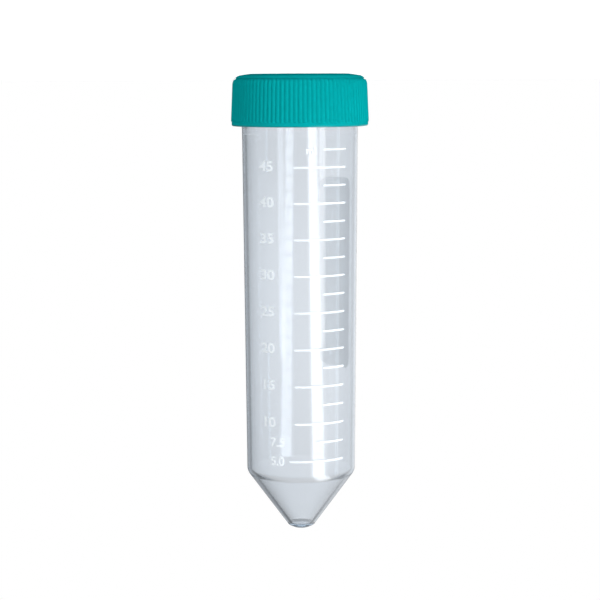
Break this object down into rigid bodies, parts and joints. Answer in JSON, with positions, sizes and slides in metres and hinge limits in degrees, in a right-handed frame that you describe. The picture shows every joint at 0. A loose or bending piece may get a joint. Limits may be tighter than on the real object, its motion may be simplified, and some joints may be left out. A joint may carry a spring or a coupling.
{
  "type": "conical tube",
  "caption": "Translucent conical-bottom laboratory tube with printed volume scale, closed by a ribbed teal screw cap and standing upside down on the cap's flat top.",
  "frame": {"origin": "centre of the flat top of the cap, on which the closed tube stands upside down", "axes": "+Z along the axis from the cap to the conical tip; -Y faces the printed volume scale"},
  "size_m": [0.0348, 0.0348, 0.1167],
  "materials": {
    "tube_plastic": "clear to slightly hazy polypropylene, glossy",
    "cap_plastic": "satin teal polyethylene with fine moulded ribs",
    "liner_foam": "matt off-white foamed liner",
    "print_ink": "opaque white screen print"
  },
  "bodies": {
    "cap": {"screw_cap": "cap_plastic"},
    "liner": {"seal_liner": "liner_foam"},
    "tube": {"conical_tube": "tube_plastic"}
  },
  "joints": [
    {"name": "tube_turn", "type": "hinge", "parent": "cap", "child": "liner", "pos_m": [0, 0, 0], "axis": [0, 0, 1], "range_deg": [0, 1080]},
    {"name": "tube_lift", "type": "slide", "parent": "liner", "child": "tube", "axis": [0, 0, 1], "range_m": [0, 0.0121]}
  ],
  "couplings": [
    {"joint": "tube_lift", "follows": "tube_turn", "m_per_rad": 0.00063662}
  ]
}
